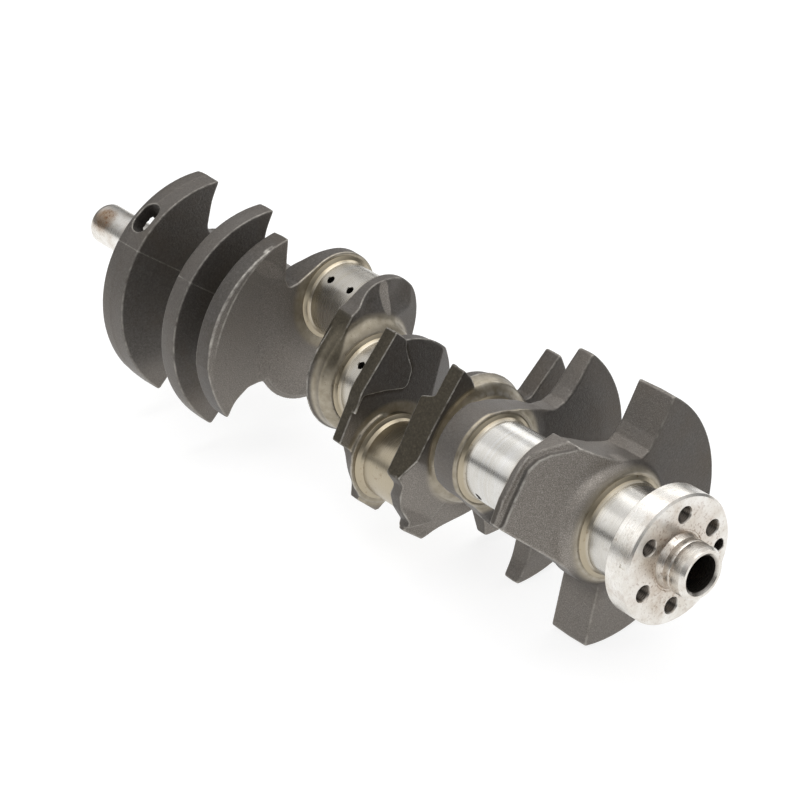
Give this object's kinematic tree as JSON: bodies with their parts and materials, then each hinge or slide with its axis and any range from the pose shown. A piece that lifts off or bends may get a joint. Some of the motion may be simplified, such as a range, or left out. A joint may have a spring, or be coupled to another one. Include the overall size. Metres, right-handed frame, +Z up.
{
  "type": "crankshaft",
  "caption": "Cross-plane engine crankshaft: ground main and rod journals between cast webs with counterweights, a plain nose and a bolted flywheel flange with a hollow pilot hub.",
  "frame": {"origin": "middle of the base of the bounding box: halfway along the shaft, under its axis, at the height of the lowest counterweight", "axes": "+X runs along the shaft from the nose to the flywheel flange, +Z is up, +Y is to the left when looking along +X; the shaft's axis is the line y = 0, z = 0.081"},
  "size_m": [0.6108, 0.1619, 0.162],
  "materials": {
    "ground_journal": "ground and polished, with a faint golden tint",
    "cast_web": "fine-grained as-cast skin, dark grey-brown",
    "turned_end": "turned, lightly marked with rust"
  },
  "bodies": {
    "root": {"nose_spindle": "turned_end", "main_journal_1": "ground_journal", "main_journal_2": "ground_journal", "main_journal_3": "ground_journal", "main_journal_4": "ground_journal", "main_journal_5": "ground_journal", "crankpin_1": "ground_journal", "crankpin_2": "ground_journal", "crankpin_3": "ground_journal", "crankpin_4": "ground_journal", "web_1": "cast_web", "web_2": "cast_web", "web_3": "cast_web", "web_4": "cast_web", "web_5": "cast_web", "web_6": "cast_web", "web_7": "cast_web", "web_8": "cast_web", "rear_flange": "turned_end", "pilot_hub": "turned_end"}
  },
  "joints": []
}
